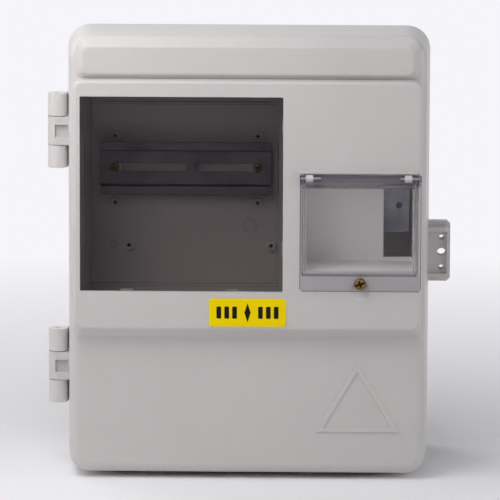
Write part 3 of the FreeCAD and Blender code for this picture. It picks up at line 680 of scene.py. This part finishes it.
@dataclass
class MouldedShells:
    """Grey door and tub, with the plain relief on the lower panel."""

    colour: Colour = linear(203, 199, 198)
    inner: Colour = linear(210, 206, 205)
    apex: Flat = (70.5 * MM, (76.0 - 144.0) * MM)
    base_half: float = 27.0 * MM
    base_z: float = (31.0 - 144.0) * MM
    band: float = 3.1 * MM
    rise: float = 0.68 * MM
    slope: float = 0.35 * MM
    foot: float = 0.25 * MM
    panel_y: float = -121.0 * MM
    pilots: Tuple[Flat, ...] = ((0.0, 19.5 * MM), (0.0, -24.5 * MM), (9.0 * MM, -53.0 * MM))
    pilot_r: float = 1.36 * MM
    mark_w: float = 0.8 * MM
    back_face: float = -1.0 * MM
    marks: Tuple[Point, ...] = (
        (-0.5 * MM, 1.0 * MM, 4.6 * MM), (-90.0 * MM, -12.0 * MM, 2.6 * MM))
    # Painted light: the breaker pocket is made lighter to stand in for light falling into it.
    pocket_painted_light: Colour = linear(246, 243, 241)
    pocket_y: Flat = (-127.0 * MM, -84.0 * MM)
    # Painted shade in the blind pilot holes.
    hole_shade_colour: Colour = (0.012, 0.012, 0.012)
    mark_tone: Colour = linear(120, 118, 118)
    sinks: Tuple[Point, ...] = (
        (-0.0580, -0.1000, 0.0022), (0.0170, -0.1115, 0.0020),
        (0.0170, -0.1345, 0.0018), (0.0870, -0.1310, 0.0018))

    def triangle(self, inset: float) -> List[Flat]:
        """Corners of the relief, moved inwards by inset."""
        x, top = self.apex
        half = self.base_half
        height = top - self.base_z
        side = math.hypot(half, height)
        low = self.base_z + inset
        high = top - inset * side / half
        reach = half * (high - low) / height
        return [(x - reach, low), (x + reach, low), (x, high)]

    def relief(self, material: bpy.types.Material) -> None:
        """Raised three-sided frame on the lower panel.

        Args:
            material: Finish of the shell.
        """
        piece = Piece("panel_relief")
        foot = self.panel_y + self.foot
        crest = self.panel_y - self.rise
        profile = ((0.0, foot), (self.slope, crest), (self.band - self.slope, crest), (self.band, foot))
        loops = [[Vector((x, y, z)) for x, z in self.triangle(inset)] for inset, y in profile]
        piece.rings(loops, closed=True)
        piece.build(material, Body.DOOR, Slot.SHELL, 25.0)

    def pilot_hole_shade(self) -> Tuple[Patch, ...]:
        """Painted shade in the insides of the blind pilot holes round the meter rail."""
        low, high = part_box("meter_rail_screws")
        z = (low.z + high.z) / 2.0
        inset = (high.z - low.z) / 2.0
        spots = [(x + across, z + up) for x in (low.x + inset, high.x - inset) for across, up in self.pilots]
        return tuple(Ring(x, z, 0.0, self.pilot_r, (-0.05, self.back_face)) for x, z in spots)

    def ejector_marks(self) -> Tuple[Patch, ...]:
        """Faint round marks of the mould's ejector pins on the back wall."""
        return tuple(Ring(x, z, r - self.mark_w, r, (-0.02, self.back_face), 0.4) for x, z, r in self.marks)

    def pocket(self) -> Tuple[Patch, ...]:
        """Inside of the breaker pocket, a little lighter than the grained face: painted light."""
        low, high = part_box("breaker_flap")
        return (Zone(((0, low.x, high.x), (1, *self.pocket_y), (2, low.z, high.z)), 0.62, 2.0 * MM),)

    def build(self) -> None:
        """Dress the shells and add the relief."""
        # The door's pocket tone is painted light.
        door = MouldedPlastic("door_grey", self.colour, sinks=self.sinks,
                              tones=(Tone(self.pocket_painted_light, self.pocket()),)).material()
        # The tub's hole tone is painted shade in the pilot holes; the ejector marks are the tub's own.
        tub = MouldedPlastic("tub_grey", self.inner,
                             tones=(Tone(self.hole_shade_colour, self.pilot_hole_shade()),
                                    Tone(self.mark_tone, self.ejector_marks()))).material()
        dress(("door_shell", "window_clips"), door)
        dress(("rear_housing",), tub)
        self.relief(door)
        LOG.info("shells: door, tub, cleats and panel relief")


@dataclass
class Glazing:
    """Smoked pane of the door and clear flap over the breaker pocket.

    Bands are given as width and share, and lines as two distances from an edge and a share.
    """

    smoke: Colour = (0.615, 0.57, 0.585)
    smoke_deep: Colour = (0.36, 0.34, 0.35)
    smoke_passed: Colour = (0.95, 0.94, 0.94)
    smoke_haze: Colour = (0.2, 0.19, 0.19)
    clear: Colour = (0.93, 0.925, 0.935)
    clear_passed: Colour = (0.97, 0.967, 0.97)
    clear_deep: Colour = (0.58, 0.57, 0.62)
    clear_shade: Colour = (0.72, 0.71, 0.74)
    clear_haze: Colour = (0.75, 0.76, 0.8)
    pane_step: Sides = (3.6 * MM, 6.8 * MM, 6.8 * MM, 6.8 * MM)
    pane_band: Flat = (1.2 * MM, 0.25)
    pane_frost: Flat = (0.6 * MM, 0.45)
    pane_edge_shade: Flat = (0.4 * MM, 0.1)
    # Painted shade: the pane's tint deepens toward its head.
    pane_head_shade: Point = (30.0 * MM, 0.4, 14.0 * MM)
    box: Sides = (1.1 * MM, 2.6 * MM, 10.8 * MM, 3.0 * MM)
    hinge_h: float = 8.2 * MM
    hinge_soft: float = 1.2 * MM
    wall: float = 2.2 * MM
    wall_shares: Flat = (0.5, 0.55)
    flange_share: float = 0.32
    rim: Flat = (0.8 * MM, 0.9)
    draft: Flat = (0.85 * MM, 1.9 * MM)
    box_frost: Flat = (0.6 * MM, 0.55)
    pad_inset: Sides = (3.0 * MM, 3.0 * MM, 1.5 * MM, 1.4 * MM)
    pad_frost: Flat = (0.45 * MM, 0.4)
    collar: Point = (3.8 * MM, 4.8 * MM, 0.6)
    flap_edge_shade: Flat = (0.5 * MM, 0.45)
    # The lines below are painted shade: dark lines along the flap's edges and walls.
    foot_line: Point = (-1.0 * MM, 1.7 * MM, 0.62)
    foot_soft: float = 0.3 * MM
    top_line: Point = (-1.4 * MM, -0.4 * MM, 0.4)
    hinge_line: Point = (0.0, 1.0 * MM, 0.4)
    left_lines: Tuple[Point, ...] = ((1.7 * MM, 2.3 * MM, 0.35), (-0.7 * MM, 0.5 * MM, 0.4))
    right_lines: Tuple[Point, ...] = ((-2.3 * MM, -1.7 * MM, 0.35), (-0.5 * MM, 0.9 * MM, 0.45))
    line_soft: float = 0.2 * MM

    def outline(self, limits: Sides, width: float, share: float) -> Tuple[Patch, ...]:
        """Four narrow stretches just inside a rectangle.

        Args:
            limits: Left, right, lower and upper limit.
            width: Width of each stretch.
            share: Strength of each stretch.

        Returns:
            Left, right, lower and upper stretch.
        """
        left, right, low, high = limits
        soft = width / 3.0
        return (Zone(((0, left, left + width), (2, low, high)), share, soft),
                Zone(((0, right - width, right), (2, low, high)), share, soft),
                Zone(((2, low, low + width), (0, left, right)), share, soft),
                Zone(((2, high - width, high), (0, left, right)), share, soft))

    def limits(self, name: str, sides: Sides) -> Sides:
        """Rectangle of a moulding's box, moved in on each side.

        Args:
            name: CAD node.
            sides: Distances in from the left, right, lower and upper side.

        Returns:
            Left, right, lower and upper limit.
        """
        low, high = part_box(name)
        return low.x + sides[0], high.x - sides[1], low.z + sides[2], high.z - sides[3]

    def edge_shade_lines(self, box: Sides, head: float) -> Tuple[Patch, ...]:
        """Lines of painted shade along the flap's walls and edges.

        Args:
            box: Left, right, lower and upper limit of the raised box.
            head: Upper edge of the flap.

        Returns:
            One patch for each line.
        """
        left, right, bottom, top = box
        across = (0, left, right)
        start, end, share = self.foot_line
        lines = [Zone(((2, bottom + start, bottom + end), across), share, self.foot_soft)]
        start, end, share = self.top_line
        lines.append(Zone(((2, head + start, head + end),), share, self.line_soft))
        start, end, share = self.hinge_line
        level = head - self.hinge_h
        lines.append(Zone(((2, level + start, level + end), across), share, self.line_soft))
        for side, spans in ((left, self.left_lines), (right, self.right_lines)):
            for start, end, share in spans:
                lines.append(Zone(((0, side + start, side + end), (2, bottom, top)), share, self.line_soft))
        return tuple(lines)

    def pane(self) -> ClearPlastic:
        """Smoked pane with frosted lines and lines of painted shade along its raised middle, and painted
        shade that deepens its tint toward its head.
        """
        step = self.limits("meter_window", self.pane_step)
        reach, share, soft = self.pane_head_shade
        head = Zone(((2, step[3] - reach, step[3] + reach),), share, soft)
        return ClearPlastic("smoked_acrylic", self.smoke, self.smoke_deep,
                            self.outline(step, *self.pane_band) + (head,),
                            self.outline(step, *self.pane_frost), self.outline(step, *self.pane_edge_shade),
                            self.smoke_passed, self.smoke_passed, 1.12, 0.015, self.smoke_haze)

    def flap(self) -> ClearPlastic:
        """Clear flap with a deep hinge band, walls of the raised box, frosted edges and lines of painted
        shade along its walls and edges.
        """
        low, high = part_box("breaker_flap")
        edges = (low.x, high.x, low.z, high.z)
        box = self.limits("breaker_flap", self.box)
        left, right, bottom, top = box
        hinge = Zone(((2, high.z - self.hinge_h, high.z + MM),), 1.0, self.hinge_soft)
        walls = (Zone(((0, left, left + self.wall), (2, bottom, top)), self.wall_shares[0]),
                 Zone(((0, right - self.wall, right), (2, bottom, top)), self.wall_shares[1]))
        flange = Zone(((2, low.z, bottom), (0, low.x, high.x)), self.flange_share)
        pad = (low.x + self.pad_inset[0], high.x - self.pad_inset[1], low.z + self.pad_inset[2],
               bottom - self.pad_inset[3])
        inside = (left + self.draft[0], right - self.draft[0], bottom + self.draft[1], high.z - self.hinge_h)
        screw = centre_of("flap_screw")
        inner, outer, share = self.collar
        collar = Ring(screw.x, screw.z, inner, outer, (-0.2, 0.0), share)
        frosted = self.outline(inside, *self.box_frost) + self.outline(pad, *self.pad_frost) + (collar,)
        return ClearPlastic("clear_acrylic", self.clear, self.clear_deep,
                            (hinge, flange) + walls + self.outline(edges, *self.rim), frosted,
                            self.edge_shade_lines(box, high.z) + self.outline(edges, *self.flap_edge_shade),
                            self.clear_passed, self.clear_shade, 1.2, 0.01, self.clear_haze)

    def build(self) -> None:
        """Dress the two clear mouldings."""
        dress(("meter_window",), self.pane().material())
        dress(("breaker_flap",), self.flap().material())
        LOG.info("glazing: pane and flap")


@dataclass(frozen=True)
class ScrewKind:
    """Size and recess of one kind of screw."""

    radius: float
    dome: float
    shank: float
    drive: Drive


@dataclass
class Fasteners:
    """Screws with real heads and threads, hinge pins and pivots.

    The crown, recess and thread are given as shares of the head's or the shank's own size.
    """

    brass: Colour = (0.24, 0.145, 0.05)
    # The dull brass serves both for dull patches and as painted shade round the rims of the heads; the recess
    # colour is painted shade in the recesses.
    brass_dull_and_rim_shade: Colour = (0.10, 0.06, 0.024)
    recess: Colour = (0.022, 0.014, 0.007)
    nylon: Colour = linear(226, 224, 216)
    zinc: Metal = Metal("zinc_plate", (0.60, 0.62, 0.65), (0.40, 0.41, 0.44), 0.34)
    rail_kind: ScrewKind = ScrewKind(3.1 * MM, 2.0 * MM, 1.7 * MM, Drive.CROSS)
    seal_kind: ScrewKind = ScrewKind(3.75 * MM, 2.2 * MM, 1.9 * MM, Drive.CROSS_AND_SLOT)
    segments: int = 48
    head_rings: int = 30
    crown_rim: float = 0.40
    crown_power: float = 2.6
    cross: Point = (0.62, 0.15, 0.75)
    cross_slope: float = 2.2
    slot: Flat = (0.11, 0.45)
    # Reach and depth of the painted shade in the recesses, then inner and outer reach and share of the
    # painted shade round the rims.
    pit: Flat = (0.76, 0.78)
    rim: Point = (0.84, 1.1, 0.7)
    pitch: float = 0.9 * MM
    thread_sides: int = 20
    thread_rows: int = 10
    groove: float = 0.22
    point: Flat = (0.45, 1.6)
    made: List[bpy.types.Object] = field(default_factory=list)

    def head_height(self, x: float, z: float, kind: ScrewKind) -> float:
        """Height of a domed head over its seat at one point, with the recess taken off.

        Args:
            x: Place across the head.
            z: Place along the head.
            kind: Size and recess.

        Returns:
            Height in metres.
        """
        share = min(1.0, math.hypot(x, z) / kind.radius)
        arch = math.sqrt(max(0.0, 1.0 - share ** self.crown_power))
        crown = kind.dome * (self.crown_rim + (1.0 - self.crown_rim) * arch)
        reach = self.cross[0] * kind.radius
        arm = self.cross[1] * kind.radius
        depth = 0.0
        for along, across in ((x, z), (z, x)):
            if abs(along) < reach and abs(across) < arm:
                slope = min(1.0, self.cross_slope * (1.0 - abs(along) / reach))
                depth = max(depth, self.cross[2] * kind.dome * slope)
        if kind.drive is Drive.CROSS_AND_SLOT and abs(z) < self.slot[0] * kind.radius:
            depth = max(depth, self.slot[1] * kind.dome)
        return crown - depth

    def head(self, piece: Piece, centre: Vector, seat: float, kind: ScrewKind, turn: float) -> None:
        """Add one domed head with its recess.

        Args:
            piece: Mesh to add to.
            centre: Axis of the screw.
            seat: Y of the face under the head.
            kind: Size and recess.
            turn: Angle of the recess in radians.
        """
        rows = []
        for ring in range(self.head_rings + 1):
            r = kind.radius * (ring / self.head_rings)
            row = []
            for x, z in circle(max(r, 1e-6), self.segments):
                spun_x = x * math.cos(turn) - z * math.sin(turn)
                spun_z = x * math.sin(turn) + z * math.cos(turn)
                high = self.head_height(x, z, kind)
                row.append(Vector((centre.x + spun_x, seat - high, centre.z + spun_z)))
            rows.append(row)
        rows.append([Vector((p.x, seat, p.z)) for p in rows[-1]])
        piece.rings(rows)

    def thread(self, piece: Piece, centre: Vector, seat: float, tip: float, radius: float) -> None:
        """Add a shank with a helical thread below the head.

        Args:
            piece: Mesh to add to.
            centre: Axis of the screw.
            seat: Y of the face under the head.
            tip: Y of the far end.
            radius: Outer radius of the thread.
        """
        rows = []
        count = int((tip - seat) / self.pitch * self.thread_rows)
        end, length = self.point
        for i in range(count + 1):
            y = seat + (tip - seat) * i / count
            taper = min(1.0, end + (tip - y) / (length * radius))
            row = []
            for k in range(self.thread_sides):
                angle = 2.0 * math.pi * k / self.thread_sides
                phase = ((y - seat) / self.pitch + k / self.thread_sides) % 1.0
                r = radius * (1.0 - self.groove * abs(2.0 * phase - 1.0)) * taper
                row.append(Vector((centre.x + r * math.cos(angle), y, centre.z + r * math.sin(angle))))
            rows.append(row)
        piece.rings(rows)

    def toned_brass(self, name: str, spots: Sequence[Point] = (), seat: float = 0.0,
                    kind: Optional[ScrewKind] = None) -> bpy.types.Material:
        """Brass, with painted shade in the recesses and round the rims of its heads.

        Args:
            name: Name of the material.
            spots: X, Z and angle of each screw.
            seat: Y of the face under the heads.
            kind: Size of the heads, if there are any.

        Returns:
            The material.
        """
        tones: Tuple[Tone, ...] = ()
        if kind is not None:
            # Painted shade: dark in the recesses and round the rims of the heads.
            back = seat + 0.02
            recess_shade = tuple(Ring(x, z, 0.0, self.pit[0] * kind.radius, (seat - self.pit[1] * kind.dome, back),
                              1.0, 0.0001) for x, z, _ in spots)
            inner, outer, share = self.rim
            rims = tuple(Ring(x, z, inner * kind.radius, outer * kind.radius, (-0.2, back), share)
                         for x, z, _ in spots)
            tones = (Tone(self.recess, recess_shade), Tone(self.brass_dull_and_rim_shade, rims))
        return Metal(name, self.brass, self.brass_dull_and_rim_shade, 0.34, tones=tones).material()

    def seat(self, node: str, kind: ScrewKind) -> float:
        """Y of the face under the heads of a CAD node."""
        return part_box(node)[0].y + kind.dome

    def pair(self, node: str, turns: Flat) -> Tuple[Point, Point]:
        """X, Z and angle of the two screws of a CAD node."""
        low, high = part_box(node)
        z = (low.z + high.z) / 2.0
        inset = (high.z - low.z) / 2.0
        return (low.x + inset, z, turns[0]), (high.x - inset, z, turns[1])

    def screws(self, name: str, node: str, spots: Sequence[Point], kind: ScrewKind,
               finish: bpy.types.Material, body: Body, slot: Slot) -> None:
        """Replace the plain screws of one CAD node.

        Args:
            name: Name of the piece.
            node: CAD node that it stands for.
            spots: X, Z and angle of each screw.
            kind: Size and recess.
            finish: Material.
            body: Rigid body that carries the screws.
            slot: Material slot of the record.
        """
        piece = Piece(name)
        seat = self.seat(node, kind)
        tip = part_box(node)[1].y
        for x, z, turn in spots:
            axis = Vector((x, 0.0, z))
            self.head(piece, axis, seat, kind, turn)
            self.thread(piece, axis, seat, tip, kind.shank)
        built = piece.build(finish, body, slot, 40.0)
        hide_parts(node)
        self.made.append(built)

    def build(self) -> None:
        """Make the screws and dress the pins."""
        zinc = self.zinc.material()
        node, kind = "meter_rail_screws", self.rail_kind
        spots = self.pair(node, (0.5, 1.1))
        brass = self.toned_brass("rail_screw_brass", spots, self.seat(node, kind), kind)
        self.screws("rail_screws", node, spots, kind, brass, Body.HOUSING, Slot.BRASS)
        node = "breaker_rail_screws"
        self.screws("strip_screws", node, self.pair(node, (0.2, 0.9)), kind, zinc, Body.HOUSING, Slot.ZINC)
        node, kind = "flap_screw", self.seal_kind
        middle = centre_of(node)
        seal = ((middle.x, middle.z, 0.35),)
        brass = self.toned_brass("seal_screw_brass", seal, self.seat(node, kind), kind)
        self.screws("seal_screw", node, seal, kind, brass, Body.FLAP, Slot.BRASS)
        dress(("flap_insert",), self.toned_brass("insert_brass"))
        dress(("upper_hinge_pin", "lower_hinge_pin", "flap_pivot_left", "flap_pivot_right"), zinc)
        dress(("flap_screw_retainer",), MouldedPlastic("white_nylon", self.nylon, 0.5).material())
        LOG.info("fasteners: %s", ", ".join(piece.name for piece in self.made))


@dataclass
class Rails:
    """Top-hat rail behind the window and flat strip behind the pocket."""

    steel: Colour = (0.095, 0.097, 0.108)
    steel_dull: Colour = (0.062, 0.063, 0.07)
    bend: float = 0.0008
    strip: Metal = Metal("strip_zinc", (0.30, 0.305, 0.335), (0.24, 0.245, 0.265), 0.42,
                         (700.0, 700.0, 12.0), 8.0e-6)

    def build(self) -> None:
        """Dress the rails."""
        rail = Metal("rail_steel", self.steel, self.steel_dull, 0.34, (6.0, 700.0, 700.0), 1.0e-5,
                     edge=self.bend)
        dress(("meter_rail",), rail.material())
        dress(("breaker_rail",), self.strip.material())
        LOG.info("rails: top-hat rail and strip")


@dataclass
class Seals:
    """Door seal and cable entries of black rubber."""

    def build(self) -> None:
        """Dress the rubber pieces."""
        dress(("door_gasket", "grommet_left", "grommet_centre", "grommet_right"),
              Rubber("black_rubber").material())
        LOG.info("seals: door seal and three cable entries")


@dataclass
class FacePlate:
    """Yellow film plate on the door with plain dark fields."""

    yellow: Colour = linear(255, 224, 0)
    dark: Colour = linear(26, 24, 20)
    field_w: float = 3.0 * MM
    field_h: float = 7.8 * MM
    steps: Tuple[float, ...] = (8.2 * MM, 13.2 * MM, 18.2 * MM)
    middle: Flat = (2.0 * MM, 6.2 * MM)
    ink: float = 0.03 * MM
    sunk: float = 0.1 * MM
    corner: float = 0.6 * MM

    def rounded(self, x: float, z: float) -> List[Flat]:
        """Outline of one field, a rounded rectangle.

        Args:
            x: Middle across.
            z: Middle height.

        Returns:
            Points in order.
        """
        half_w = self.field_w / 2.0
        half_h = self.field_h / 2.0
        r = self.corner
        points = []
        for corner, (sx, sz) in enumerate(((1, 1), (-1, 1), (-1, -1), (1, -1))):
            for step in range(5):
                angle = math.pi / 2.0 * (corner + step / 4.0)
                points.append((x + sx * (half_w - r) + r * math.cos(angle),
                               z + sz * (half_h - r) + r * math.sin(angle)))
        return points

    def build(self) -> None:
        """Dress the plate and lay the fields on it."""
        dress(("label_plate",), PrintedFilm("yellow_film", self.yellow, 0.32).material())
        low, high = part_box("label_plate")
        middle = (low + high) / 2.0
        piece = Piece("plate_fields")
        for shift in [side * step for step in self.steps for side in (-1.0, 1.0)]:
            outline = self.rounded(middle.x + shift, middle.z)
            piece.prism(outline, low.y + self.sunk, low.y - self.ink)
        wide, tall = self.middle
        piece.prism([(middle.x - wide, middle.z), (middle.x, middle.z - tall), (middle.x + wide, middle.z),
                     (middle.x, middle.z + tall)], low.y + self.sunk, low.y - self.ink)
        piece.build(PrintedFilm("dark_ink", self.dark, 0.38).material(), Body.DOOR, Slot.FILM)
        LOG.info("face plate: film and plain fields")


@dataclass(frozen=True)
class Lamp:
    """One square soft lamp."""

    name: str
    place: Point
    size: float
    power: float
    colour: Colour = (1.0, 1.0, 1.0)


@dataclass
class Studio:
    """Paper floor, soft lamps and the camera at the photograph's angle."""

    base_z: float = -144.0 * MM
    azimuth: float = 1.0
    elevation: float = 9.5
    roll: float = 0.2
    distance: float = 3.2
    lens: float = 358.6
    aim: Point = (0.0, -0.082, 0.0)
    aside: Flat = (0.94 * MM, -1.82 * MM)
    glow: float = 0.19
    floor_radii: Tuple[float, ...] = (0.4, 1.0, 2.5, 9.0)
    floor_sides: int = 64
    lamps: Tuple[Lamp, ...] = (
        Lamp("key", (-0.28, -0.95, 0.36), 0.3, 0.85, (1.0, 0.99, 0.98)),
        Lamp("top", (-0.2, -0.36, 0.4), 0.3, 1.36),
        Lamp("left", (-0.85, -0.25, 0.25), 0.5, 1.5),
        Lamp("right", (0.75, -0.35, 0.2), 0.5, 1.55),
        Lamp("rear", (-0.9, 0.8, 1.2), 0.9, 6.5))

    def floor(self) -> None:
        """Round sheet of paper under the box."""
        sheet = bmesh.new()
        hub = sheet.verts.new((0.0, 0.0, self.base_z))
        sides = self.floor_sides
        rims = [[sheet.verts.new((x, y, self.base_z)) for x, y in circle(radius, sides)]
                for radius in self.floor_radii]
        for i in range(sides):
            j = (i + 1) % sides
            sheet.faces.new((hub, rims[0][i], rims[0][j]))
            for inner, outer in zip(rims, rims[1:]):
                sheet.faces.new((inner[i], outer[i], outer[j], inner[j]))
        data = bpy.data.meshes.new("paper_floor")
        sheet.to_mesh(data)
        sheet.free()
        data.materials.append(FloorPaper().material())
        paper = bpy.data.objects.new("paper_floor", data)
        bpy.context.scene.collection.objects.link(paper)

    def lamp(self, kind: Lamp) -> None:
        """Add one lamp, aimed at the middle of the box."""
        data = bpy.data.lights.new(kind.name, "AREA")
        data.shape = "SQUARE"
        data.size = kind.size
        data.energy = kind.power
        data.color = kind.colour
        lamp = bpy.data.objects.new(kind.name, data)
        lamp.location = kind.place
        lamp.rotation_euler = (Vector(self.aim) - Vector(kind.place)).to_track_quat("-Z", "Y").to_euler()
        bpy.context.scene.collection.objects.link(lamp)

    def world(self) -> None:
        """Even pale light from all round, seen as plain pale ground."""
        graph = Graph("studio", world=True)
        glow = graph.node("ShaderNodeBackground", None, {"Color": (0.95, 0.96, 1.0), "Strength": self.glow})
        plain = graph.node("ShaderNodeBackground", None, {"Color": FloorPaper().ground, "Strength": 1.0})
        shader = graph.node("ShaderNodeMixShader", None,
                            {0: graph.seen_plainly(), 1: glow.outputs[0], 2: plain.outputs[0]})
        bpy.context.scene.world = graph.close(shader)

    def camera(self) -> None:
        """Long lens at the photograph's angle."""
        a = math.radians(self.azimuth)
        e = math.radians(self.elevation)
        back = Vector((math.sin(a) * math.cos(e), -math.cos(a) * math.cos(e), math.sin(e)))
        turn = (-back).to_track_quat("-Z", "Y").to_matrix()
        turn = turn @ Matrix.Rotation(math.radians(self.roll), 3, "Z")
        data = bpy.data.cameras.new("photo_camera")
        data.lens = self.lens
        data.sensor_width = 36.0
        data.clip_start = 0.05
        data.clip_end = 50.0
        camera = bpy.data.objects.new("photo_camera", data)
        centre = Vector(self.aim) + turn @ Vector((self.aside[0], self.aside[1], 0.0))
        camera.matrix_world = Matrix.Translation(centre + back * self.distance) @ turn.to_4x4()
        bpy.context.scene.collection.objects.link(camera)
        bpy.context.scene.camera = camera

    def build(self) -> None:
        """Set up the stage."""
        scene = bpy.context.scene
        scene.view_settings.view_transform = "Standard"
        self.floor()
        self.world()
        for kind in self.lamps:
            self.lamp(kind)
        self.camera()
        LOG.info("studio: paper, lamps and camera")


def main() -> None:
    """Build every sub-assembly in order."""
    logging.basicConfig(level=logging.INFO, format="%(name)s: %(message)s")
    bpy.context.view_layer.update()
    for assembly in (MouldedShells(), Glazing(), Rails(), Fasteners(), Seals(), FacePlate(), Studio()):
        assembly.build()


if __name__ == "__main__":
    main()
